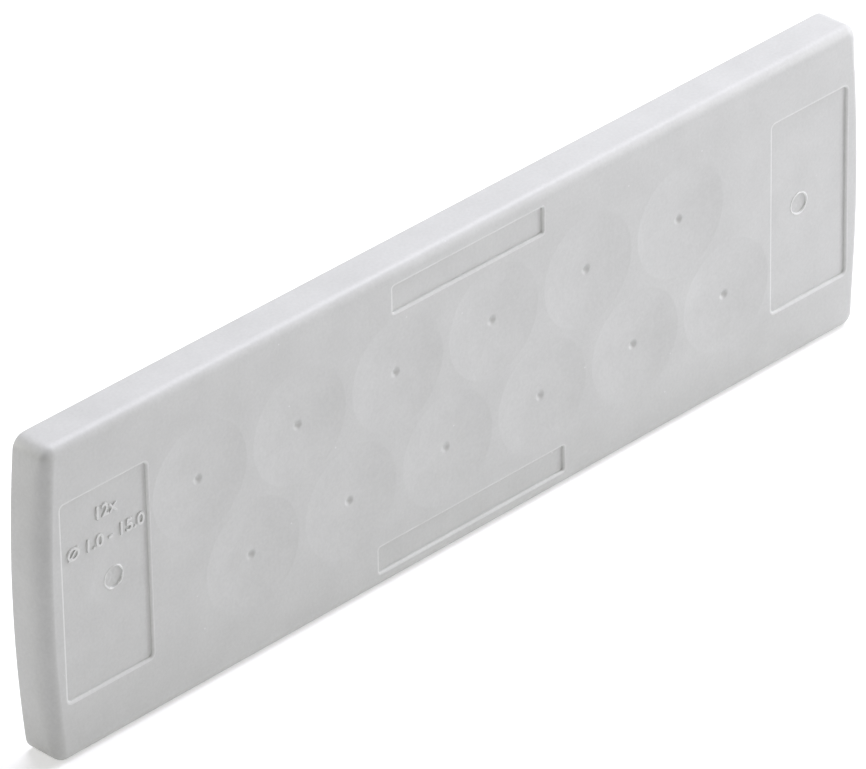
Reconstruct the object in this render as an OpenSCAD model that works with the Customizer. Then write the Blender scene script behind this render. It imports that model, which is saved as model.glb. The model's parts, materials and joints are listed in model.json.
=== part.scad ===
// Snap-in cable entry plate: a soft membrane cover bonded over a rigid support frame.
// X runs along the plate, Z is up, the front faces -Y, and Y = 0 is the face of the cabinet wall.

/* [Cable cells] */
// Number of cells in each of the two staggered rows
columns = 6; // [3:1:10]
// Clear diameter of a cell, a little over the thickest cable
cell_d = 15.4; // [8:0.1:24]
// Thickness of the web where two neighbouring cells come closest
cell_web = 1.6; // [1.2:0.1:4]

/* [Membranes] */
// How far the dished front of a membrane reaches past its cell all round
dish_lap = 0.25; // [0.1:0.05:0.6]
// Depth of the dish below the front face
dish_depth = 0.4; // [0.1:0.05:0.6]
// Mouth diameter of the pierce pit in the middle of a membrane
pit_d = 1.6; // [0.6:0.1:3]
// Depth of the pierce pit below the dish
pit_depth = 0.4; // [0.1:0.05:0.6]
// Depth of the thinning on the rear of a membrane
relief_depth = 0.9; // [0.2:0.05:1]
// Width of the thicker ring left round that thinning
relief_lip = 0.4; // [0.2:0.1:2]

/* [Cover] */
// Thickness of the skin over the frame's flange
front_skin = 2.2; // [1.8:0.1:4]
// Thickness of the skirt round the flange
skirt = 2.4; // [1.6:0.1:5]
// How far the skirt's rear rim stands proud of the flange to make the seal
seal_proud = 0.4; // [0.2:0.1:1]
// Radius of the four corners seen from the front
corner_r = 2; // [1.9:0.1:4]
// Radius of the rounded front edge
edge_r = 1.8; // [0.5:0.1:1.9]
// How far back that rounding runs at the middle of each short end
end_edge = 3.2; // [1.8:0.1:5]
// How far each short end bulges outwards at its middle
end_bulge = 1.1; // [0.2:0.1:3]

/* [End pockets] */
// Distance from the collar's end to the plate's end
end_land = 17.25; // [14:0.25:30]
// Land left between a pocket and the plate's end
pocket_end = 3.05; // [2.6:0.05:6]
// Land left between a pocket and each long edge
pocket_side = 8.2; // [4:0.1:12]
// Depth of a pocket
pocket_depth = 0.4; // [0.2:0.05:1]
// Corner radius of a pocket
pocket_r = 0.8; // [0.3:0.1:3]
// Diameter of the gate mark in a pocket
gate_d = 2.6; // [1:0.1:5]
// Depth of the gate mark
gate_depth = 0.2; // [0.1:0.05:0.5]
// Distance from the pocket's middle to the gate mark, towards the plate's middle
gate_shift = 1.5; // [0:0.1:3]
// Diameter of the shallow sink round the gate mark
sink_d = 8; // [6:0.1:10]
// Depth of that sink
sink_depth = 0.12; // [0.05:0.01:0.2]

/* [Marking windows] */
// Width of the upper window
upper_window_w = 26.8; // [10:0.2:60]
// Height of the upper window
upper_window_h = 4; // [1.5:0.1:4.3]
// Distance from the top edge to the upper window
upper_window_edge = 2.3; // [2:0.05:2.9]
// Width of the lower window
lower_window_w = 33.4; // [10:0.2:60]
// Height of the lower window
lower_window_h = 3.9; // [1.5:0.1:4.3]
// Distance from the bottom edge to the lower window
lower_window_edge = 2.15; // [2:0.05:3]
// Depth of both windows
window_depth = 0.4; // [0.2:0.05:1]
// Corner radius of both windows
window_r = 0.5; // [0.2:0.1:0.7]

/* [Frame] */
// Thickness of the flange inside the cover
flange_t = 3.3; // [2:0.1:6]
// Corner radius of the flange
flange_r = 1; // [0.5:0.1:3]
// Distance from the collar's long side to the plate's long edge
side_land = 4.7; // [4.4:0.1:10]
// Wall left between the last cell of a row and the collar's end
end_wall = 1.15; // [0.8:0.05:4]
// Wall left between a cell and the collar's long side
side_wall = 2.54; // [2.2:0.02:5]
// Thickness of the collar's outer wall
collar_wall = 1.3; // [0.9:0.1:1.8]
// Thickness of the tube round each cell
tube_wall = 1.3; // [1:0.1:2]
// Corner radius of the collar
collar_r = 3; // [1.5:0.1:6]
// Height and width of the lead-in chamfer at the collar's tip
lead_in = 0.4; // [0.2:0.1:1]

/* [Snap fingers] */
// Thickness of the cabinet wall
panel_t = 2; // [1:0.1:4]
// How far the seal is squeezed when the fingers have snapped in
seal_squeeze = 0.3; // [0.1:0.05:0.5]
// Width of a finger
finger_w = 7; // [3:0.1:8]
// Width of the slots that free a finger from the collar
slot_w = 1; // [0.5:0.1:1.2]
// How far a hook stands out from the collar
hook_reach = 1; // [0.6:0.1:1.6]
// Length of a hook from its catch to the end of its sloping back
hook_l = 3; // [1.5:0.1:8]
// Land of the collar past the hooks
tip_land = 0.5; // [0.4:0.1:4]

/* [Hidden] */

// Fineness of round shapes, and of the pieces that a hull joins
$fn = 96;
hull_fn = 32;
arc_steps = 6;
// Number of steps along half of a bulged end
bulge_steps = 4;
// A cut runs this far past the face it opens
past = 0.5;

// Hexagonal pattern: the two rows are shifted half a pitch against each other
pitch = cell_d + cell_web;
row_rise = pitch * sqrt(3) / 2;
row_half = (columns - 1) / 2 * pitch;
tube_r = cell_d / 2 + tube_wall;
dish_d = cell_d + 2 * dish_lap;
// Half height of the solid web that fills the small gaps between the two rows
web_lap = 0.3;
web_half = row_rise / 2 - sqrt(max(tube_r ^ 2 - (pitch / 2) ^ 2, 0)) + web_lap;

collar_l = (columns - 0.5) * pitch + cell_d + 2 * end_wall;
collar_h = row_rise + cell_d + 2 * side_wall;
plate_l = collar_l + 2 * end_land;
plate_h = collar_h + 2 * side_land;
flange_l = plate_l - 2 * (end_bulge + skirt);
flange_h = plate_h - 2 * skirt;

// Depths along the local Z axis, which points out of the front face, from the seal's rim
flange_back = seal_proud;
flange_front = flange_back + flange_t;
plate_t = flange_front + front_skin;
catch_z = seal_squeeze - panel_t;
collar_depth = hook_l + tip_land - catch_z;

pocket_w = end_land - pocket_end;
pocket_h = plate_h - 2 * pocket_side;
pocket_x = (collar_l + pocket_w) / 2;

// Stands a shape drawn with Z towards the front upright, so that its front faces -Y
module upright() {
    rotate([90, 0, 0]) children();
}

module rounded_rect(w, h, r) {
    square([w - 2 * r, h], center = true);
    square([w, h - 2 * r], center = true);
    for (x = [-1, 1], y = [-1, 1])
        translate([x * (w / 2 - r), y * (h / 2 - r)]) circle(r);
}

// Places children at every cell of both rows
module at_cells() {
    for (i = [0 : columns - 1], side = [-1, 1])
        translate([i * pitch - row_half + side * pitch / 4, -side * row_rise / 2])
            children();
}

// Places children at both ends of the plate, mirrored at the left one
module at_ends() {
    for (side = [-1, 1])
        translate([side * pocket_x, 0]) mirror([side < 0 ? 1 : 0, 0]) children();
}

// Shallow spherical bowl sunk into the plane Z = 0
module bowl(d, depth) {
    r = (d ^ 2 / 4 + depth ^ 2) / (2 * depth);
    rotate_extrude()
        intersection() {
            translate([0, r - depth]) circle(r, $fn = 1440);
            translate([0, -2 * depth]) square([d, 2 * depth + past / 10]);
        }
}

// Upright round post of the cover's outer form, with its front edge rounded over a depth
module edge_post(depth) {
    rotate_extrude($fn = hull_fn)
        polygon(concat(
            [[0, 0], [corner_r, 0]],
            [for (i = [0 : arc_steps])
                let (a = 90 * i / arc_steps)
                [corner_r - edge_r + edge_r * cos(a), plate_t - depth + depth * sin(a)]],
            [[0, plate_t]]));
}

// Outer form of the cover: straight long edges, and ends that bulge a little with a deeper rounding
module cover_form() {
    post_x = plate_l / 2 - corner_r;
    post_y = plate_h / 2 - corner_r;
    hull()
        for (side = [-1, 1], i = [-bulge_steps : bulge_steps])
            let (s = i / bulge_steps)
            translate([side * (post_x - end_bulge * s ^ 2), s * post_y])
                edge_post(end_edge + (edge_r - end_edge) * s ^ 4);
}

// Sunk pocket at a plate's end, with the gate mark in its shallow sink
module end_pocket() {
    floor_z = plate_t - pocket_depth;
    translate([0, 0, floor_z])
        linear_extrude(pocket_depth + past) rounded_rect(pocket_w, pocket_h, pocket_r);
    translate([-gate_shift, 0, floor_z]) {
        bowl(sink_d, sink_depth);
        translate([0, 0, -gate_depth]) cylinder(d = gate_d, h = gate_depth + past);
    }
}

// Sunk window, open to the front, with its middle at the height y
module marking_window(w, h, y) {
    translate([0, y, plate_t - window_depth])
        linear_extrude(window_depth + past) rounded_rect(w, h, window_r);
}

// Dish and pierce pit on the front of a membrane, and the thinning on its rear
module membrane_cuts() {
    translate([0, 0, plate_t]) bowl(dish_d, dish_depth);
    translate([0, 0, plate_t - dish_depth - pit_depth])
        cylinder(h = pit_depth + past / 10, d1 = pit_d / 3, d2 = pit_d);
    translate([0, 0, flange_front - past])
        cylinder(h = relief_depth + past, d = cell_d - 2 * relief_lip);
}

module membrane_cover() {
    color([0.77, 0.775, 0.77])
        upright()
            difference() {
                cover_form();
                translate([0, 0, -past])
                    linear_extrude(flange_front + past) rounded_rect(flange_l, flange_h, flange_r);
                at_cells() membrane_cuts();
                at_ends() end_pocket();
                marking_window(upper_window_w, upper_window_h,
                    plate_h / 2 - upper_window_edge - upper_window_h / 2);
                marking_window(lower_window_w, lower_window_h,
                    lower_window_edge + lower_window_h / 2 - plate_h / 2);
            }
}

// Collar that goes through the cut-out, with a lead-in at its tip
module collar_form() {
    hull() {
        translate([0, 0, lead_in - collar_depth])
            linear_extrude(collar_depth - lead_in + flange_front - flange_t / 2)
                rounded_rect(collar_l, collar_h, collar_r, $fn = hull_fn);
        translate([0, 0, -collar_depth])
            linear_extrude(lead_in)
                rounded_rect(collar_l - 2 * lead_in, collar_h - 2 * lead_in, collar_r - lead_in, $fn = hull_fn);
    }
}

// Hollows between the tubes and the collar's outer wall
module collar_hollows() {
    translate([0, 0, -collar_depth - past])
        linear_extrude(collar_depth + past + flange_back)
            difference() {
                rounded_rect(collar_l - 2 * collar_wall, collar_h - 2 * collar_wall,
                    max(collar_r - collar_wall, collar_wall / 4));
                square([collar_l, 2 * web_half], center = true);
                at_cells() circle(tube_r);
            }
}

// Places children at every second valley of the upper row and, turned half a turn, of the lower row
module at_fingers() {
    for (turn = [0, 180], i = [0 : 2 : columns - 2])
        rotate(turn)
            translate([(i + 0.25) * pitch - row_half, collar_h / 2, 0]) children();
}

// Two slots, from the flange to the collar's tip, that free a finger of the collar's wall
module finger_slots() {
    slot_l = flange_back + collar_depth + past;
    for (side = [-1, 1])
        translate([side * (finger_w + slot_w) / 2, -collar_wall / 2, flange_back - slot_l / 2])
            cube([slot_w, collar_wall + past / 5, slot_l], center = true);
}

// Hook of a finger, with its catch behind the cabinet wall and a sloping back
module finger_hook() {
    rotate([90, 0, 90])
        translate([0, 0, -finger_w / 2])
            linear_extrude(finger_w)
                polygon([
                    [-collar_wall / 2, catch_z],
                    [hook_reach, catch_z],
                    [hook_reach, catch_z - hook_reach / 2],
                    [0, catch_z - hook_l],
                    [-collar_wall / 2, catch_z - hook_l]]);
}

module support_frame() {
    color([0.70, 0.71, 0.71])
        upright() {
            difference() {
                union() {
                    translate([0, 0, flange_back])
                        linear_extrude(flange_t) rounded_rect(flange_l, flange_h, flange_r);
                    collar_form();
                }
                collar_hollows();
                at_cells()
                    translate([0, 0, -collar_depth - past])
                        cylinder(d = cell_d, h = collar_depth + flange_front + 2 * past);
                at_fingers() finger_slots();
            }
            at_fingers() finger_hook();
        }
}

membrane_cover();
support_frame();
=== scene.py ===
"""Looks of a snap-in cable entry plate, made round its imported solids.

The soft membrane cover is one moulded skin, built ring by ring. The rigid support frame behind it keeps
its solid and gets softened edges. All lengths are in metres, X runs along the plate, Z is up and the
front faces -Y.
"""

import json
import math

import bmesh
import bpy
from mathutils import Matrix, Vector, noise
from mathutils.geometry import delaunay_2d_cdt


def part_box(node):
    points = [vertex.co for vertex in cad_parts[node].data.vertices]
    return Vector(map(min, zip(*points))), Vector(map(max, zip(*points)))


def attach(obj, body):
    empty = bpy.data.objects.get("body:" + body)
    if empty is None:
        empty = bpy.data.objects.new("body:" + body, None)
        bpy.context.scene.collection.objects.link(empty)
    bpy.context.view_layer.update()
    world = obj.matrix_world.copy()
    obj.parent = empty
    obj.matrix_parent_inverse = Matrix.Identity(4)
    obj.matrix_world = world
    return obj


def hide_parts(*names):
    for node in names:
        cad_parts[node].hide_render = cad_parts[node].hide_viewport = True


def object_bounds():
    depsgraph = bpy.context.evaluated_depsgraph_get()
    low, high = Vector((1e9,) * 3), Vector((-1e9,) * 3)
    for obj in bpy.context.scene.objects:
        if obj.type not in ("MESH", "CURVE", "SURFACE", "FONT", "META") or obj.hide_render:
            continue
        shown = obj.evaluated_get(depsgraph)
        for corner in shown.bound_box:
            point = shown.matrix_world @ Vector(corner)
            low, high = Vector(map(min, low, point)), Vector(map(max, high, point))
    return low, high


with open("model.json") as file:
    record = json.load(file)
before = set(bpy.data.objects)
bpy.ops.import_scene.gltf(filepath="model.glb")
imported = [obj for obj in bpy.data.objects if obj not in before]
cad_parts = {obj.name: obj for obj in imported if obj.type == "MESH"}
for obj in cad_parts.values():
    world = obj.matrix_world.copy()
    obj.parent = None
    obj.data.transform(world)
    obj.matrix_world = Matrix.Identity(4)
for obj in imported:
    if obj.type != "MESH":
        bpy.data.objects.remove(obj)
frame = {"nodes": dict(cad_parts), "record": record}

bl_info = {
    "name": "Cable Entry Plate",
    "version": (1, 0, 0),
    "blender": (4, 5, 0),
    "location": "View3D > Sidebar > Entry Plate",
    "description": "Builds the looks of a membrane cable entry plate round its solids",
    "category": "Add Mesh",
}

MM = 0.001

# The cover's box gives the plate's length, height and thickness, and the bore mounts give the cells.
CAD_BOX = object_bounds()
COVER_LOW, COVER_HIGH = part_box("membrane_cover")
PLATE_L = COVER_HIGH.x - COVER_LOW.x
PLATE_H = COVER_HIGH.z - COVER_LOW.z
PLATE_T = COVER_HIGH.y - COVER_LOW.y
FRONT_Y = COVER_LOW.y
CELLS = [((m["pos_m"][0], m["pos_m"][2]), m["dims"]["r_mm"] * MM)
         for m in frame["record"]["mounts"] if m["name"].startswith("cable_cell")]

# Fineness of the meshes
CIRCLE_STEPS = 72
CORNER_STEPS = 8
EDGE_STEPS = 8
WALL_STEPS = 5
BULGE_STEPS = 24
DISH_STEPS = 12
PIT_STEPS = 8
# Width of the flat strip left beside a rounded edge, which keeps the shading of the flat face flat
GUARD = 0.06 * MM
LEAST_R = GUARD / 4

# A pit's floor and mouth, as shares of its radius
PIT_INNER = 0.1
PIT_OUTER = 1.05

# Rings of a gate mark, as shares of the sink's radius, of the burr's width and of the mark's radius
SINK_RINGS = (1.0, 0.85, 0.7)
BURR_RINGS = [0.7 - 0.1 * k for k in range(15)]
GATE_RINGS = [0.8 - 0.1 * k for k in range(7)]
# A gate mark's ragged rim and rough floor: widths and starts of their noise, and how much it changes them
TEAR_W = 0.9 * MM
TEAR_SEED = 7 * MM
TEAR_SWAY = 0.2
TEAR_MEAN = 0.8
TEAR_SPREAD = 0.6
ROUGH_W = 0.45 * MM
ROUGH_SEED = 5 * MM
ROUGH_SHARE = 0.2
# Least crest value of a gate mark's faces that are painted pale, a painted highlight
GATE_HIGHLIGHT_CREST = 0.9

# Cleaning of the frame's solid before its edges are softened
WELD_REACH = 0.001 * MM
FLAT_ANGLE = math.radians(0.5)

# Moulded surfaces
SPECULAR = 0.45
SHEEN_SPREAD = 0.08
CLOUD_W = 6 * MM
SPECK_SPACING = 4 * MM
SPECK_CORE = 0.02
SPECK_EDGE = 0.035
DARK_SPECKS = 0.35

SENSOR_W = 36.0
VIEW_END = 20.0

# Soft lamps: name, azimuth and elevation in degrees, distance and size in metres, watts, tint
LAMPS = (
    ("key", 60.0, 12.0, 0.55, 0.3, 1.25, (0.975, 0.975, 1.0)),
    ("front_fill", -24.0, 4.0, 1.0, 0.5, 2.5, (1.0, 0.985, 0.92)),
    ("left_rim", -148.0, 8.0, 0.8, 0.4, 3.6, (1.0, 0.99, 0.95)),
    ("top_front", 75.0, 56.0, 0.9, 0.4, 4.7, (0.93, 0.925, 1.0)),
    ("top_back", 140.0, 70.0, 0.9, 0.5, 5.0, (0.93, 0.925, 1.0)),
)


def length(name, description, millimetres):
    """A length in millimetres as a property in metres."""
    return bpy.props.FloatProperty(
        name=name, description=description, default=millimetres * MM, min=0.0, unit="LENGTH", precision=5)


def share(name, description, value, top=1.0):
    """A plain number from 0 to its top."""
    return bpy.props.FloatProperty(name=name, description=description, default=value, min=0.0, max=top)


def angle(name, description, degrees):
    """An angle in degrees as a property in radians."""
    return bpy.props.FloatProperty(
        name=name, description=description, default=math.radians(degrees), subtype="ANGLE")


def colour(name, description, value):
    """A colour as linear red, green and blue."""
    return bpy.props.FloatVectorProperty(
        name=name, description=description, default=value, size=3, min=0.0, max=1.0, subtype="COLOR")


def place(name, description, millimetres):
    """A point in millimetres as a property in metres."""
    return bpy.props.FloatVectorProperty(
        name=name, description=description, default=[v * MM for v in millimetres], size=3,
        subtype="TRANSLATION", unit="LENGTH", precision=5)


class CoverSizes(bpy.types.PropertyGroup):
    """Sizes of the soft cover's outer form and its membranes."""

    corner_r: length("Corner radius", "Radius of the four corners seen from the front", 2.0)
    edge_r: length("Front edge radius", "Radius of the rounded front edge", 1.5)
    end_edge: length("End edge depth", "How far back that rounding runs at the middle of each short end", 3.2)
    end_bulge: length("End bulge", "How far each short end bulges outwards at its middle", 1.1)
    rear_r: length("Rear edge radius", "Radius of the seal rim's edges", 0.3)
    skirt: length("Skirt", "Thickness of the skirt round the frame's flange", 2.4)
    front_skin: length("Front skin", "Thickness of the skin over the frame's flange", 2.2)
    flange_r: length("Flange corner radius", "Corner radius of the hollow that takes the flange", 1.0)
    dish_lap: length("Dish lap", "How far a dish reaches past its cell", 0.25)
    dish_depth: length("Dish depth", "Depth of a membrane's dish below the front face", 0.4)
    pit_d: length("Pit diameter", "Mouth diameter of the pierce pit", 1.6)
    pit_depth: length("Pit depth", "Depth of the pierce pit below the dish", 0.33)
    relief_depth: length("Relief depth", "Depth of the thinning on the rear of a membrane", 0.9)
    relief_lip: length("Relief lip", "Width of the ring left round that thinning", 0.4)


class PocketSizes(bpy.types.PropertyGroup):
    """Sizes of the two sunk end pockets and the gate mark in each."""

    width: length("Width", "Width of a pocket's mouth", 14.8)
    end: length("End land", "Land left between a pocket and the plate's end", 2.9)
    side: length("Side land", "Land left between a pocket and each long edge", 8.1)
    depth: length("Depth", "Depth of a pocket", 0.4)
    corner_r: length("Corner radius", "Corner radius of a pocket's mouth", 0.9)
    wall_slope: angle("Wall slope", "How steeply a pocket's wall goes down", 76.0)
    rim_r: length("Rim radius", "Rounding where a pocket's wall meets the face", 0.34)
    foot_r: length("Foot radius", "Rounding where a pocket's wall meets its floor", 0.06)
    gate_d: length("Gate mark diameter", "Diameter of the moulding gate's mark", 2.6)
    gate_depth: length("Gate mark depth", "Depth of the gate mark", 0.2)
    gate_shift: length("Gate shift", "Distance from the pocket's middle to its gate mark", 1.5)
    burr: length("Gate burr", "Height of the torn rim round the gate mark", 0.12)
    burr_w: length("Gate burr width", "Width of that torn rim", 0.4)
    sink_d: length("Sink diameter", "Diameter of the shallow sink round the gate mark", 8.0)
    sink_depth: length("Sink depth", "Depth of that sink", 0.12)


class WindowSizes(bpy.types.PropertyGroup):
    """Sizes of the two bare marking windows."""

    upper_w: length("Upper width", "Width of the upper window's mouth", 27.2)
    upper_h: length("Upper height", "Height of the upper window's mouth", 4.3)
    upper_edge: length("Upper edge", "Distance from the top edge to the upper window", 2.15)
    lower_w: length("Lower width", "Width of the lower window's mouth", 33.8)
    lower_h: length("Lower height", "Height of the lower window's mouth", 4.2)
    lower_edge: length("Lower edge", "Distance from the bottom edge to the lower window", 2.0)
    depth: length("Depth", "Depth of both windows", 0.4)
    corner_r: length("Corner radius", "Corner radius of both windows' mouths", 0.6)
    wall_slope: angle("Wall slope", "How steeply a window's wall goes down", 76.0)
    rim_r: length("Rim radius", "Rounding where a window's wall meets the face", 0.32)
    foot_r: length("Foot radius", "Rounding where a window's wall meets its floor", 0.06)


class NumeralSizes(bpy.types.PropertyGroup):
    """Raised numerals on the left pocket's floor: the number of cells and the cable sizes."""

    count_text: bpy.props.StringProperty(name="Cells", description="Number of cells", default="12x")
    range_text: bpy.props.StringProperty(
        name="Cable sizes", description="Range of cable diameters", default="Ø 1.0 - 15.0")
    height: length("Height", "Height of the digits", 1.7)
    count_w: length("Count width", "Width of the line with the number of cells", 3.3)
    count_x: length("Count place", "Distance from the pocket's middle to that line, to the right", 0.6)
    count_z: length("Count height", "Height of that line above the pocket's middle", 10.2)
    range_w: length("Range width", "Width of the line with the cable sizes", 12.7)
    range_x: length("Range place", "Distance from the pocket's middle to that line, to the right", 0.3)
    range_z: length("Range height", "Height of that line above the pocket's middle", 6.3)
    relief: length("Relief", "How far the digits stand out of the pocket's floor", 0.2)
    soft_edge: length("Soft edge", "Rounding of the digits' edges", 0.05)


class FrameSizes(bpy.types.PropertyGroup):
    """Softening of the rigid frame's moulded edges."""

    edge_r: length("Edge radius", "Radius of the frame's softened edges", 0.15)
    sharp: angle("Sharp angle", "Edges that turn by more than this are softened", 32.0)


class Finishes(bpy.types.PropertyGroup):
    """Colours, roughness and grain of the soft cover and the rigid frame."""

    cover_colour: colour("Cover colour", "Paler tone of the soft cover's mottling", (0.662, 0.666, 0.652))
    cover_shade: colour("Cover shade", "Darker tone of the soft cover's mottling", (0.462, 0.466, 0.453))
    # The torn and rubbed tones are painted highlights: on the crest of a gate mark's burr, and on the rims of
    # the sunk fields and the numerals.
    gate_highlight_colour: colour("Gate highlight colour", "Paler tone of the painted highlight on a gate mark's burr", (0.90, 0.90, 0.89))
    rim_highlight_colour: colour("Rim highlight colour", "Paler tone of the painted highlight on rims and numerals", (0.765, 0.769, 0.753))
    rim_highlight_dark: colour("Rim highlight dark tone", "Darker tone of the painted highlight on rims and numerals", (0.545, 0.549, 0.536))
    frame_colour: colour("Frame colour", "Paler tone of the rigid frame's mottling", (0.510, 0.520, 0.520))
    frame_shade: colour("Frame shade", "Darker tone of the rigid frame's mottling", (0.410, 0.420, 0.420))
    pale_speck: colour("Pale speck", "Colour of the pale specks in the surface", (0.70, 0.70, 0.70))
    dark_speck: colour("Dark speck", "Colour of the dark specks in the surface", (0.42, 0.42, 0.41))
    cover_rough: share("Cover roughness", "Roughness of the soft cover", 0.42)
    frame_rough: share("Frame roughness", "Roughness of the rigid frame", 0.42)
    grain: length("Grain", "Width of the grain of the mould's surface", 0.42)
    grain_height: length("Grain height", "Height of that grain", 0.008)


class StageSizes(bpy.types.PropertyGroup):
    """Camera, floor and lights."""

    target: place("Target", "Point that the camera looks at", (-1.109, -0.373, -1.73))
    distance: length("Distance", "Distance from the camera to its target", 1082.81)
    azimuth: angle("Azimuth", "Camera's turn about the upright axis, from straight in front", -45.132)
    elevation: angle("Elevation", "Camera's height above the horizon", 31.244)
    roll: angle("Roll", "Camera's turn about its own axis", -1.003)
    lens: share("Focal length", "Focal length for a 36 mm wide sensor, in millimetres", 361.06, top=1000.0)
    floor_size: length("Floor size", "Side of the square floor", 8000.0)
    floor_colour: colour("Floor colour", "Colour of the floor", (0.88, 0.88, 0.88))
    floor_lift: share("Floor lift", "Light that the camera alone sees on the floor round the plate", 0.4)
    floor_near: length("Floor near", "Distance from the middle at which the floor starts to pale", 160.0)
    floor_far: length("Floor far", "Distance from the middle at which the floor is white", 420.0)
    sky: share("Sky", "Strength of the even light from all round", 0.12, top=5.0)


class EntryPlateSettings(bpy.types.PropertyGroup):
    """All settings of the cable entry plate."""

    cover: bpy.props.PointerProperty(type=CoverSizes)
    pocket: bpy.props.PointerProperty(type=PocketSizes)
    window: bpy.props.PointerProperty(type=WindowSizes)
    numerals: bpy.props.PointerProperty(type=NumeralSizes)
    frame: bpy.props.PointerProperty(type=FrameSizes)
    finish: bpy.props.PointerProperty(type=Finishes)
    stage: bpy.props.PointerProperty(type=StageSizes)


class Moulding:
    """Vertices and faces of a moulding, and the numbers of its faces that get the painted highlights of the
    gate marks and of the rims.

    A point is (x, z) as seen from the front, with a depth behind it.
    """

    def __init__(self):
        self.verts = []
        self.faces = []
        self.gate_highlight_faces = []
        self.rim_highlight_faces = []

    def ring(self, points, depth):
        """Adds a closed ring at one depth, or at a depth for each point, and returns its indices."""
        depths = depth if isinstance(depth, list) else [depth] * len(points)
        start = len(self.verts)
        self.verts += [Vector((x, FRONT_Y + d, z)) for (x, z), d in zip(points, depths)]
        return list(range(start, len(self.verts)))

    def band(self, first, second):
        """Joins two rings of as many points with four-sided faces."""
        for i in range(len(first)):
            self.faces.append((first[i - 1], first[i], second[i], second[i - 1]))

    def run(self, loops):
        """Adds a run of (points, depth) rings, each joined to the one before, and returns its two ends."""
        rings = [self.ring(points, depth) for points, depth in loops]
        for first, second in zip(rings, rings[1:]):
            self.band(first, second)
        return rings[0], rings[-1]

    def sheet(self, outer, holes=()):
        """Fills the flat field between an outer ring and the rings of its holes, which are all convex."""
        index = []
        edges = []
        hole_of = []
        for number, loop in enumerate((outer, *holes)):
            start = len(index)
            edges += [(start + k, start + (k + 1) % len(loop)) for k in range(len(loop))]
            hole_of += [number] * len(loop)
            index += loop
        flat = [Vector((self.verts[i].x, self.verts[i].z)) for i in index]
        _, _, faces, origins, _, _ = delaunay_2d_cdt(flat, edges, [], 1, 1e-9)
        for face in faces:
            corners = [origins[v][0] for v in face]
            touched = {hole_of[c] for c in corners}
            if len(touched) > 1 or touched == {0}:
                self.faces.append(tuple(index[c] for c in corners))

    def piece(self, name, material, gate_highlight_material, rim_highlight_material):
        """Makes the moulding a smooth closed mesh object, with its own paler materials, painted highlights,
        on the gate burrs' crests and on the rims.
        """
        mesh = bpy.data.meshes.new(name)
        mesh.from_pydata(self.verts, [], self.faces)
        for index, numbers in ((1, self.gate_highlight_faces), (2, self.rim_highlight_faces)):
            for number in numbers:
                mesh.polygons[number].material_index = index
        return finished(mesh, name, material, gate_highlight_material, rim_highlight_material)


def finished(mesh, name, *materials):
    """Turns a mesh's faces outwards, shades it smooth and returns it as a piece in the scene."""
    bm = bmesh.new()
    bm.from_mesh(mesh)
    bmesh.ops.recalc_face_normals(bm, faces=bm.faces)
    for face in bm.faces:
        face.smooth = True
    bm.to_mesh(mesh)
    bm.free()
    for material in materials:
        mesh.materials.append(material)
    piece = bpy.data.objects.new(name, mesh)
    bpy.context.scene.collection.objects.link(piece)
    return piece


def circle(centre, r):
    """Points of a circle, anticlockwise as seen from the front."""
    turns = [2 * math.pi * k / CIRCLE_STEPS for k in range(CIRCLE_STEPS)]
    return [(centre[0] + r * math.cos(a), centre[1] + r * math.sin(a)) for a in turns]


def rounded_rect(centre, w, h, r, inset=0.0):
    """Points of a rounded rectangle drawn in by an inset, anticlockwise as seen from the front."""
    radius = max(r - inset, LEAST_R)
    reach_x = w / 2 - inset - radius
    reach_z = h / 2 - inset - radius
    points = []
    for corner, (sx, sz) in enumerate([(1, 1), (-1, 1), (-1, -1), (1, -1)]):
        for k in range(CORNER_STEPS + 1):
            a = math.pi / 2 * (corner + k / CORNER_STEPS)
            points.append((centre[0] + sx * reach_x + radius * math.cos(a),
                           centre[1] + sz * reach_z + radius * math.sin(a)))
    return points


def quarter(steps):
    """Angles of a quarter turn."""
    return [math.pi / 2 * k / steps for k in range(steps + 1)]


def end_spots(cover):
    """Places along the right end from corner to corner: share of the half height, and facing angle."""
    post_z = PLATE_H / 2 - cover.corner_r
    lean = math.atan2(2 * cover.end_bulge, post_z)
    corner = [lean + (math.pi / 2 - lean) * k / CORNER_STEPS for k in range(1, CORNER_STEPS + 1)]
    middle = [k / BULGE_STEPS for k in range(-BULGE_STEPS, BULGE_STEPS + 1)]
    return [*((-1.0, -a) for a in reversed(corner)),
            *((s, math.atan2(2 * cover.end_bulge * s, post_z)) for s in middle),
            *((1.0, a) for a in corner)]


def cover_outline(cover, inset):
    """Points of the cover's outline, with straight long edges and bulged ends, drawn in by an inset."""
    post_x = PLATE_L / 2 - cover.corner_r
    post_z = PLATE_H / 2 - cover.corner_r
    r = cover.corner_r - inset
    right = [(post_x - cover.end_bulge * s * s + r * math.cos(a), s * post_z + r * math.sin(a))
             for s, a in end_spots(cover)]
    return right + [(-x, z) for x, z in reversed(right)]


def edge_depths(cover, part):
    """Depths round the outline at a part of the front rounding, which runs deepest at the ends' middles."""
    right = [part * (cover.end_edge + (cover.edge_r - cover.end_edge) * s ** 4) for s, _ in end_spots(cover)]
    return right + right[::-1]


def bowl_depth(r, rim_r, depth):
    """Depth at a radius of a shallow spherical bowl."""
    ball = (rim_r ** 2 + depth ** 2) / (2 * depth)
    return depth - ball + math.sqrt(ball ** 2 - min(r, rim_r) ** 2)


def smooth_step(value):
    """Eases from 0 to 1 with level ends."""
    t = min(max(value, 0.0), 1.0)
    return t * t * (3 - 2 * t)


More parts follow.
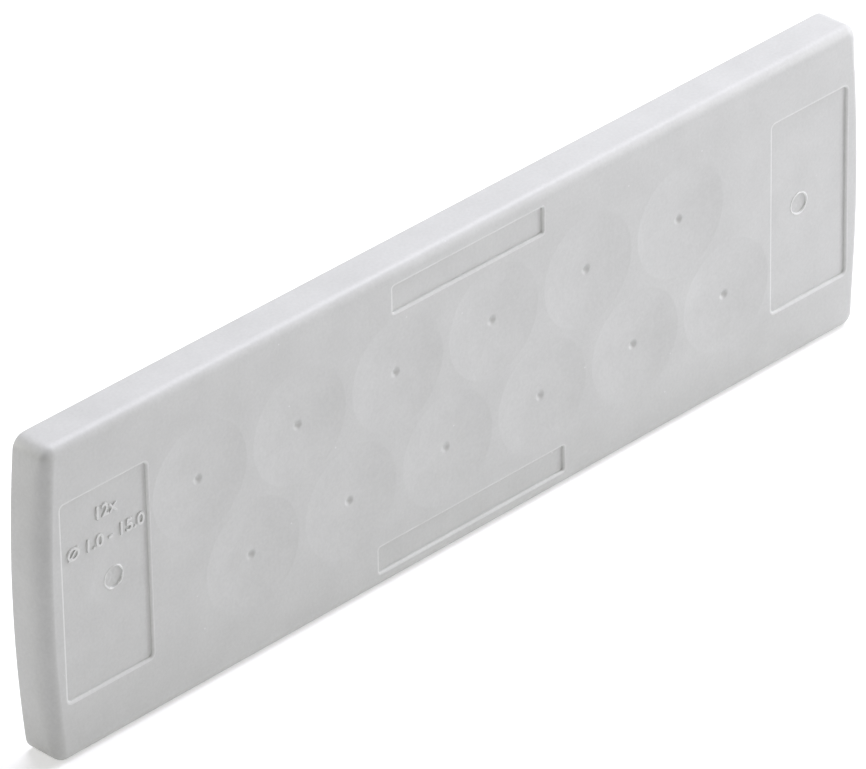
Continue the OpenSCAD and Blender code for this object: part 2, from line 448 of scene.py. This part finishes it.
def recess(skin, outline, sizes):
    """Adds a sunk field's leaning wall with a painted highlight on its rim, and returns the rings at its
    mouth and floor.
    """
    slope = sizes.wall_slope
    straight = (sizes.depth - (sizes.rim_r + sizes.foot_r) * (1 - math.cos(slope))) / math.tan(slope)
    foot_end = (sizes.rim_r + sizes.foot_r) * math.sin(slope) + straight
    turns = [slope * k / WALL_STEPS for k in range(WALL_STEPS + 1)]
    rim = [(sizes.rim_r * math.sin(a), sizes.rim_r * (1 - math.cos(a))) for a in turns]
    foot = [(foot_end - sizes.foot_r * math.sin(a), sizes.depth - sizes.foot_r * (1 - math.cos(a)))
            for a in reversed(turns)]
    profile = [(-GUARD, 0.0), *rim, *foot, (foot_end + GUARD, sizes.depth)]
    start = len(skin.faces)
    mouth, floor = skin.run([(outline(inset), d) for inset, d in profile])
    # The rim's rounded faces are painted paler, a painted highlight.
    skin.rim_highlight_faces += range(start, start + len(mouth) * len(rim))
    return mouth, floor


def membrane_front(skin, cover, centre, cell_r):
    """Adds a membrane's dish with its pierce pit, and returns the ring at its mouth."""
    rim_r = cell_r + cover.dish_lap
    pit_r = cover.pit_d / 2
    inner = pit_r * PIT_INNER
    outer = pit_r * PIT_OUTER
    radii = [rim_r + GUARD, rim_r]
    radii += [rim_r + (outer - rim_r) * smooth_step(k / DISH_STEPS) for k in range(1, DISH_STEPS)]
    radii += [outer + (inner - outer) * k / PIT_STEPS for k in range(PIT_STEPS + 1)]
    loops = []
    for r in radii:
        sunk = cover.pit_depth * (1 - smooth_step((r - inner) / (outer - inner)))
        loops.append((circle(centre, r), bowl_depth(r, rim_r, cover.dish_depth) + sunk))
    mouth, bottom = skin.run(loops)
    skin.sheet(bottom)
    return mouth


def gate_mark(skin, pocket, centre, seed):
    """Adds the sink and the gate mark with its ragged burr in a pocket's floor, and returns the ring at the
    sink's mouth.
    """
    sink_r = pocket.sink_d / 2
    gate_r = pocket.gate_d / 2
    crest_r = gate_r + pocket.burr_w / 2
    half_burr = 0.5 * pocket.burr_w
    radii = [sink_r + GUARD, *(sink_r * s for s in SINK_RINGS)]
    radii += [crest_r + pocket.burr_w * s for s in BURR_RINGS]
    radii += [gate_r * s for s in GATE_RINGS]
    loops = []
    crests = []
    for r in radii:
        points = circle(centre, r)
        depths = []
        crests.append([])
        for x, z in points:
            tear = noise.noise(Vector((x, z, seed)) / TEAR_W)
            rough = noise.noise(Vector((x, z, seed + ROUGH_SEED)) / ROUGH_W)
            crest = smooth_step(1 - abs(r - crest_r - TEAR_SWAY * pocket.burr_w * tear) / half_burr)
            sunk = pocket.gate_depth * smooth_step((crest_r - r) / half_burr)
            lump = pocket.burr * crest * (TEAR_MEAN + TEAR_SPREAD * tear)
            inside = ROUGH_SHARE * pocket.gate_depth * rough * smooth_step((gate_r - r) / pocket.burr_w)
            depths.append(pocket.depth + bowl_depth(r, sink_r, pocket.sink_depth) + sunk - lump + inside)
            crests[-1].append(crest * (1 + tear))
        loops.append((points, depths))
    # Faces on the burr's crest are painted pale, a painted highlight.
    start = len(skin.faces)
    mouth, bottom = skin.run(loops)
    skin.gate_highlight_faces += [start + k * CIRCLE_STEPS + i for k in range(len(loops) - 1) for i in range(CIRCLE_STEPS)
                  if crests[k][i] + crests[k + 1][i] > GATE_HIGHLIGHT_CREST]
    skin.sheet(bottom)
    return mouth


def end_pocket(skin, pocket, side):
    """Adds the pocket at one end of the plate, and returns the ring at its mouth."""
    centre = (side * (PLATE_L / 2 - pocket.end - pocket.width / 2), 0.0)
    height = PLATE_H - 2 * pocket.side

    def outline(inset):
        return rounded_rect(centre, pocket.width, height, pocket.corner_r, inset)

    mouth, floor = recess(skin, outline, pocket)
    gate = (centre[0] - side * pocket.gate_shift, centre[1])
    skin.sheet(floor, [gate_mark(skin, pocket, gate, side * TEAR_SEED)])
    return mouth


def marking_window(skin, window, w, h, z):
    """Adds a bare sunk window at a height, and returns the ring at its mouth."""

    def outline(inset):
        return rounded_rect((0.0, z), w, h, window.corner_r, inset)

    mouth, floor = recess(skin, outline, window)
    skin.sheet(floor)
    return mouth


def cover_rear(skin, cover, rim):
    """Adds the seal rim's face, the hollow for the flange and the thinned rears of the membranes."""
    hollow_l = PLATE_L - 2 * (cover.end_bulge + cover.skirt)
    hollow_h = PLATE_H - 2 * cover.skirt

    def outline(inset):
        return rounded_rect((0.0, 0.0), hollow_l, hollow_h, cover.flange_r, inset)

    lip = cover.rear_r / 2
    loops = [(outline(-lip - GUARD), PLATE_T)]
    loops += [(outline(-lip + lip * math.sin(a)), PLATE_T - lip * (1 - math.cos(a)))
              for a in quarter(WALL_STEPS)]
    loops += [(outline(0.0), cover.front_skin + GUARD), (outline(0.0), cover.front_skin)]
    mouth, roof = skin.run(loops)
    skin.sheet(rim, [mouth])
    reliefs = []
    top = cover.front_skin - cover.relief_depth
    for centre, cell_r in CELLS:
        r = cell_r - cover.relief_lip
        foot = [(r - cover.rear_r * (1 - math.cos(a)), top + cover.rear_r * (1 - math.sin(a)))
                for a in quarter(WALL_STEPS)]
        profile = [(r, cover.front_skin), *foot, (r - cover.rear_r - GUARD, top)]
        edge, middle = skin.run([(circle(centre, radius), d) for radius, d in profile])
        skin.sheet(middle)
        reliefs.append(edge)
    skin.sheet(roof, reliefs)


class ENTRYPLATE_OT_cover(bpy.types.Operator):
    """Build the soft cover as one skin: rounded form, dished membranes, pockets, windows and seal rim"""

    bl_idname = "entry_plate.cover"
    bl_label = "Membrane Cover"
    bl_options = {"REGISTER", "UNDO"}

    def execute(self, context):
        settings = context.scene.entry_plate
        cover, pocket, window, finish = settings.cover, settings.pocket, settings.window, settings.finish
        skin = Moulding()
        loops = [(cover_outline(cover, cover.edge_r + GUARD), 0.0)]
        loops += [(cover_outline(cover, cover.edge_r * (1 - math.sin(a))),
                   edge_depths(cover, 1 - math.cos(a))) for a in quarter(EDGE_STEPS)]
        loops += [(cover_outline(cover, cover.rear_r * (1 - math.cos(a))),
                   PLATE_T - cover.rear_r * (1 - math.sin(a))) for a in quarter(WALL_STEPS)]
        loops.append((cover_outline(cover, cover.rear_r + GUARD), PLATE_T))
        face, rim = skin.run(loops)
        holes = [membrane_front(skin, cover, centre, cell_r) for centre, cell_r in CELLS]
        holes += [end_pocket(skin, pocket, side) for side in (-1, 1)]
        upper_z = PLATE_H / 2 - window.upper_edge - window.upper_h / 2
        lower_z = window.lower_edge + window.lower_h / 2 - PLATE_H / 2
        holes.append(marking_window(skin, window, window.upper_w, window.upper_h, upper_z))
        holes.append(marking_window(skin, window, window.lower_w, window.lower_h, lower_z))
        skin.sheet(face, holes)
        cover_rear(skin, cover, rim)
        # The gate burrs' crests and the rims get paler materials, painted highlights.
        piece = skin.piece("cover_skin", elastomer(finish), gate_highlight_elastomer(finish), rim_highlight_elastomer(finish))
        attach(piece, "root")
        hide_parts("membrane_cover")
        return {"FINISHED"}


def raised_line(text, numerals, width, centre, floor_depth, material, name):
    """Makes one line of raised digits that stand on a floor, fitted to a width and the digits' height."""
    curve = bpy.data.curves.new(name, "FONT")
    curve.body = text
    curve.size = 1.0
    writing = bpy.data.objects.new(name + "_curve", curve)
    bpy.context.scene.collection.objects.link(writing)
    bpy.context.view_layer.update()
    graph = bpy.context.evaluated_depsgraph_get()
    low, high = (Vector(writing.evaluated_get(graph).bound_box[i]) for i in (0, 6))
    scale = numerals.height / (high.y - low.y)
    scale_x = width / (high.x - low.x)
    curve.extrude = (numerals.relief - numerals.soft_edge) / scale
    curve.bevel_depth = numerals.soft_edge / scale
    curve.bevel_resolution = 2
    bpy.context.view_layer.update()
    mesh = bpy.data.meshes.new_from_object(writing.evaluated_get(bpy.context.evaluated_depsgraph_get()))
    bpy.data.objects.remove(writing)
    middle = (low + high) / 2
    for vert in mesh.vertices:
        x = centre[0] + (vert.co.x - middle.x) * scale_x
        z = centre[1] + (vert.co.y - middle.y) * scale
        vert.co = (x, FRONT_Y + floor_depth - vert.co.z * scale, z)
    return finished(mesh, name, material)


class ENTRYPLATE_OT_numerals(bpy.types.Operator):
    """Raise the plain numerals on the left pocket's floor"""

    bl_idname = "entry_plate.numerals"
    bl_label = "Raised Numerals"
    bl_options = {"REGISTER", "UNDO"}

    def execute(self, context):
        settings = context.scene.entry_plate
        numerals, pocket = settings.numerals, settings.pocket
        middle_x = pocket.end + pocket.width / 2 - PLATE_L / 2
        # The digits get the rims' paler material all over, a painted highlight.
        material = rim_highlight_elastomer(settings.finish)
        lines = [
            ("count_numerals", numerals.count_text, numerals.count_w,
             (middle_x + numerals.count_x, numerals.count_z)),
            ("range_numerals", numerals.range_text, numerals.range_w,
             (middle_x + numerals.range_x, numerals.range_z)),
        ]
        for name, text, width, centre in lines:
            piece = raised_line(text, numerals, width, centre, pocket.depth, material, name)
            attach(piece, "root")
        return {"FINISHED"}


class ENTRYPLATE_OT_frame(bpy.types.Operator):
    """Soften the moulded edges of the rigid support frame and give it its plastic"""

    bl_idname = "entry_plate.frame"
    bl_label = "Support Frame"
    bl_options = {"REGISTER", "UNDO"}

    def execute(self, context):
        settings = context.scene.entry_plate
        piece = frame["nodes"]["support_frame"]
        weld = piece.modifiers.new("weld", "WELD")
        weld.merge_threshold = WELD_REACH
        flat = piece.modifiers.new("flat faces", "DECIMATE")
        flat.decimate_type = "DISSOLVE"
        flat.angle_limit = FLAT_ANGLE
        soft = piece.modifiers.new("soft edges", "BEVEL")
        soft.width = settings.frame.edge_r
        soft.segments = 2
        soft.limit_method = "ANGLE"
        soft.angle_limit = settings.frame.sharp
        soft.use_clamp_overlap = True
        soft.harden_normals = True
        piece.data.materials.clear()
        piece.data.materials.append(rigid_plastic(settings.finish))
        piece.data.polygons.foreach_set("use_smooth", [True] * len(piece.data.polygons))
        return {"FINISHED"}


def link(tree, source, target):
    """Links an output socket to an input socket."""
    tree.links.new(source, target)


def moulded_surface():
    """Node group of a moulded surface: fine grain, mottled tone, broad clouds, and a few specks."""
    name = "moulded_surface"
    if name in bpy.data.node_groups:
        return bpy.data.node_groups[name]
    tree = bpy.data.node_groups.new(name, "ShaderNodeTree")
    for label, default in (("Grain Width", MM), ("Cloud Width", CLOUD_W), ("Speck Spacing", SPECK_SPACING)):
        socket = tree.interface.new_socket(label, in_out="INPUT", socket_type="NodeSocketFloat")
        socket.default_value = default
    for label in ("Grain", "Clouds", "Tone", "Specks", "Speck Tone"):
        tree.interface.new_socket(label, in_out="OUTPUT", socket_type="NodeSocketFloat")
    nodes = tree.nodes
    enter = nodes.new("NodeGroupInput")
    leave = nodes.new("NodeGroupOutput")
    where = nodes.new("ShaderNodeTexCoord").outputs["Object"]

    def per_width(socket):
        node = nodes.new("ShaderNodeMath")
        node.operation = "DIVIDE"
        node.inputs[0].default_value = 1.0
        link(tree, enter.outputs[socket], node.inputs[1])
        return node.outputs[0]

    def noise_of(socket, detail, roughness):
        node = nodes.new("ShaderNodeTexNoise")
        node.inputs["Detail"].default_value = detail
        node.inputs["Roughness"].default_value = roughness
        link(tree, where, node.inputs["Vector"])
        link(tree, per_width(socket), node.inputs["Scale"])
        return node.outputs["Fac"]

    grain = noise_of("Grain Width", 3.0, 0.6)
    clouds = noise_of("Cloud Width", 4.0, 0.55)
    tone = nodes.new("ShaderNodeMix")
    link(tree, clouds, tone.inputs["A"])
    link(tree, grain, tone.inputs["B"])
    link(tree, grain, leave.inputs["Grain"])
    link(tree, clouds, leave.inputs["Clouds"])
    link(tree, tone.outputs["Result"], leave.inputs["Tone"])
    cells = nodes.new("ShaderNodeTexVoronoi")
    link(tree, where, cells.inputs["Vector"])
    link(tree, per_width("Speck Spacing"), cells.inputs["Scale"])
    spot = nodes.new("ShaderNodeMapRange")
    spot.inputs["From Min"].default_value = SPECK_CORE
    spot.inputs["From Max"].default_value = SPECK_EDGE
    spot.inputs["To Min"].default_value = 1.0
    spot.inputs["To Max"].default_value = 0.0
    link(tree, cells.outputs["Distance"], spot.inputs["Value"])
    link(tree, spot.outputs["Result"], leave.inputs["Specks"])
    pick = nodes.new("ShaderNodeMath")
    pick.operation = "GREATER_THAN"
    pick.inputs[1].default_value = DARK_SPECKS
    link(tree, cells.outputs["Color"], pick.inputs[0])
    link(tree, pick.outputs[0], leave.inputs["Speck Tone"])
    return tree


def moulded_material(name, finish, base, shade, rough):
    """Matte moulded material: base colour, roughness and bump all vary with the moulded surface."""
    if name in bpy.data.materials:
        return bpy.data.materials[name]
    material = bpy.data.materials.new(name)
    material.use_nodes = True
    tree = material.node_tree
    shader = tree.nodes["Principled BSDF"]
    shader.inputs["Specular IOR Level"].default_value = SPECULAR
    surface = tree.nodes.new("ShaderNodeGroup")
    surface.node_tree = moulded_surface()
    surface.inputs["Grain Width"].default_value = finish.grain

    tone = tree.nodes.new("ShaderNodeMix")
    tone.data_type = "RGBA"
    tone.inputs["A"].default_value = (*shade, 1.0)
    tone.inputs["B"].default_value = (*base, 1.0)
    link(tree, surface.outputs["Tone"], tone.inputs["Factor"])
    speck_tone = tree.nodes.new("ShaderNodeMix")
    speck_tone.data_type = "RGBA"
    speck_tone.inputs["A"].default_value = (*finish.dark_speck, 1.0)
    speck_tone.inputs["B"].default_value = (*finish.pale_speck, 1.0)
    link(tree, surface.outputs["Speck Tone"], speck_tone.inputs["Factor"])
    speck = tree.nodes.new("ShaderNodeMix")
    speck.data_type = "RGBA"
    link(tree, speck_tone.outputs["Result"], speck.inputs["B"])
    link(tree, surface.outputs["Specks"], speck.inputs["Factor"])
    link(tree, tone.outputs["Result"], speck.inputs["A"])
    link(tree, speck.outputs["Result"], shader.inputs["Base Color"])

    sheen = tree.nodes.new("ShaderNodeMapRange")
    sheen.inputs["To Min"].default_value = rough - SHEEN_SPREAD
    sheen.inputs["To Max"].default_value = rough + SHEEN_SPREAD
    link(tree, surface.outputs["Clouds"], sheen.inputs["Value"])
    link(tree, sheen.outputs["Result"], shader.inputs["Roughness"])

    bump = tree.nodes.new("ShaderNodeBump")
    bump.inputs["Distance"].default_value = finish.grain_height
    link(tree, surface.outputs["Grain"], bump.inputs["Height"])
    link(tree, bump.outputs["Normal"], shader.inputs["Normal"])
    return material


def elastomer(finish):
    """Soft light grey rubber of the cover."""
    return moulded_material(
        "light_grey_elastomer", finish, finish.cover_colour, finish.cover_shade, finish.cover_rough)


def gate_highlight_elastomer(finish):
    """The same rubber, painted pale as a highlight on the crest of the gate mark's burr."""
    return moulded_material(
        "gate_highlight_elastomer", finish, finish.gate_highlight_colour, finish.cover_colour, finish.cover_rough)


def rim_highlight_elastomer(finish):
    """The same rubber, painted paler as a highlight on the rims of the sunk fields and on the numerals."""
    return moulded_material(
        "rim_highlight_elastomer", finish, finish.rim_highlight_colour, finish.rim_highlight_dark, finish.cover_rough)


def rigid_plastic(finish):
    """Rigid grey plastic of the frame."""
    return moulded_material(
        "grey_frame_plastic", finish, finish.frame_colour, finish.frame_shade, finish.frame_rough)


def camera_sees(tree):
    """Value that is 1 for the camera and for what mirrors or glass show, and 0 for light on the object."""
    path = tree.nodes.new("ShaderNodeLightPath")
    seen = path.outputs["Is Camera Ray"]
    for ray in ("Is Glossy Ray", "Is Transmission Ray"):
        either = tree.nodes.new("ShaderNodeMath")
        either.operation = "MAXIMUM"
        link(tree, seen, either.inputs[0])
        link(tree, path.outputs[ray], either.inputs[1])
        seen = either.outputs[0]
    return seen


def make_floor(stage):
    """Pale floor under the plate's lower edge, which the camera sees as white round the plate's shadow."""
    half = stage.floor_size / 2
    mesh = bpy.data.meshes.new("floor")
    corners = [(-half, -half), (half, -half), (half, half), (-half, half)]
    mesh.from_pydata([(x, y, CAD_BOX[0].z) for x, y in corners], [], [(0, 1, 2, 3)])
    material = bpy.data.materials.new("pale_floor")
    material.use_nodes = True
    tree = material.node_tree
    shader = tree.nodes["Principled BSDF"]
    shader.inputs["Base Color"].default_value = (*stage.floor_colour, 1.0)
    shader.inputs["Roughness"].default_value = 1.0
    shader.inputs["Specular IOR Level"].default_value = 0.0
    shader.inputs["Emission Color"].default_value = (1.0, 1.0, 1.0, 1.0)
    away = tree.nodes.new("ShaderNodeVectorMath")
    away.operation = "LENGTH"
    link(tree, tree.nodes.new("ShaderNodeTexCoord").outputs["Object"], away.inputs[0])
    lift = tree.nodes.new("ShaderNodeMapRange")
    lift.inputs["From Min"].default_value = stage.floor_near
    lift.inputs["From Max"].default_value = stage.floor_far
    lift.inputs["To Min"].default_value = stage.floor_lift
    lift.inputs["To Max"].default_value = 1.0
    link(tree, away.outputs["Value"], lift.inputs["Value"])
    seen = tree.nodes.new("ShaderNodeMath")
    seen.operation = "MULTIPLY"
    link(tree, camera_sees(tree), seen.inputs[0])
    link(tree, lift.outputs["Result"], seen.inputs[1])
    link(tree, seen.outputs[0], shader.inputs["Emission Strength"])
    mesh.materials.append(material)
    floor = bpy.data.objects.new("floor", mesh)
    bpy.context.scene.collection.objects.link(floor)


def make_world(stage):
    """Even soft light from all round, which the camera sees as white."""
    world = bpy.data.worlds.new("soft_studio")
    bpy.context.scene.world = world
    world.use_nodes = True
    tree = world.node_tree
    strength = tree.nodes.new("ShaderNodeMix")
    strength.inputs["A"].default_value = stage.sky
    strength.inputs["B"].default_value = 1.0
    link(tree, camera_sees(tree), strength.inputs["Factor"])
    background = tree.nodes["Background"]
    background.inputs["Color"].default_value = (1.0, 1.0, 1.0, 1.0)
    link(tree, strength.outputs["Result"], background.inputs["Strength"])


def direction(azimuth, elevation):
    """Unit vector towards a place round the plate: azimuth 0 is in front, and right is positive."""
    return Vector((math.sin(azimuth) * math.cos(elevation),
                   -math.cos(azimuth) * math.cos(elevation),
                   math.sin(elevation)))


def make_lamp(name, azimuth, elevation, distance, size, power, tint):
    """Square soft lamp that faces the plate's middle."""
    lamp = bpy.data.lights.new(name, "AREA")
    lamp.size = size
    lamp.energy = power
    lamp.color = tint
    holder = bpy.data.objects.new(name, lamp)
    way = direction(math.radians(azimuth), math.radians(elevation))
    holder.location = way * distance
    holder.rotation_euler = way.to_track_quat("Z", "Y").to_euler()
    bpy.context.scene.collection.objects.link(holder)


def make_camera(stage):
    """Camera at the photograph's viewing angle."""
    lens = bpy.data.cameras.new("camera")
    lens.lens = stage.lens
    lens.sensor_width = SENSOR_W
    lens.clip_end = VIEW_END
    camera = bpy.data.objects.new("camera", lens)
    back = direction(stage.azimuth, stage.elevation)
    turn = back.to_track_quat("Z", "Y").to_matrix().to_4x4() @ Matrix.Rotation(stage.roll, 4, "Z")
    camera.matrix_world = Matrix.Translation(Vector(stage.target) + back * stage.distance) @ turn
    bpy.context.scene.collection.objects.link(camera)
    bpy.context.scene.camera = camera


class ENTRYPLATE_OT_stage(bpy.types.Operator):
    """Set up the camera, the floor, the world and the lamps"""

    bl_idname = "entry_plate.stage"
    bl_label = "Stage"
    bl_options = {"REGISTER", "UNDO"}

    def execute(self, context):
        stage = context.scene.entry_plate.stage
        make_camera(stage)
        make_floor(stage)
        make_world(stage)
        for lamp in LAMPS:
            make_lamp(*lamp)
        context.scene.view_settings.view_transform = "Standard"
        return {"FINISHED"}


class ENTRYPLATE_PT_panel(bpy.types.Panel):
    """Lists the plate's pieces and sizes"""

    bl_idname = "ENTRYPLATE_PT_panel"
    bl_label = "Cable Entry Plate"
    bl_space_type = "VIEW_3D"
    bl_region_type = "UI"
    bl_category = "Entry Plate"

    def draw(self, context):
        layout = self.layout
        for operator in OPERATORS:
            layout.operator(operator.bl_idname)
        settings = context.scene.entry_plate
        for group in (settings.cover, settings.pocket, settings.window, settings.numerals,
                      settings.frame, settings.finish, settings.stage):
            box = layout.box()
            for name in group.__annotations__:
                box.prop(group, name)


GROUPS = (CoverSizes, PocketSizes, WindowSizes, NumeralSizes, FrameSizes, Finishes, StageSizes,
          EntryPlateSettings)
OPERATORS = (ENTRYPLATE_OT_cover, ENTRYPLATE_OT_numerals, ENTRYPLATE_OT_frame, ENTRYPLATE_OT_stage)
CLASSES = (*GROUPS, *OPERATORS, ENTRYPLATE_PT_panel)


def register():
    """Registers the classes and the scene's settings."""
    for cls in CLASSES:
        bpy.utils.register_class(cls)
    bpy.types.Scene.entry_plate = bpy.props.PointerProperty(type=EntryPlateSettings)


def unregister():
    """Removes the scene's settings and the classes."""
    del bpy.types.Scene.entry_plate
    for cls in reversed(CLASSES):
        bpy.utils.unregister_class(cls)


def main():
    """Builds the pieces and the stage in order."""
    register()
    bpy.ops.entry_plate.cover()
    bpy.ops.entry_plate.numerals()
    bpy.ops.entry_plate.frame()
    bpy.ops.entry_plate.stage()


if __name__ == "__main__":
    main()
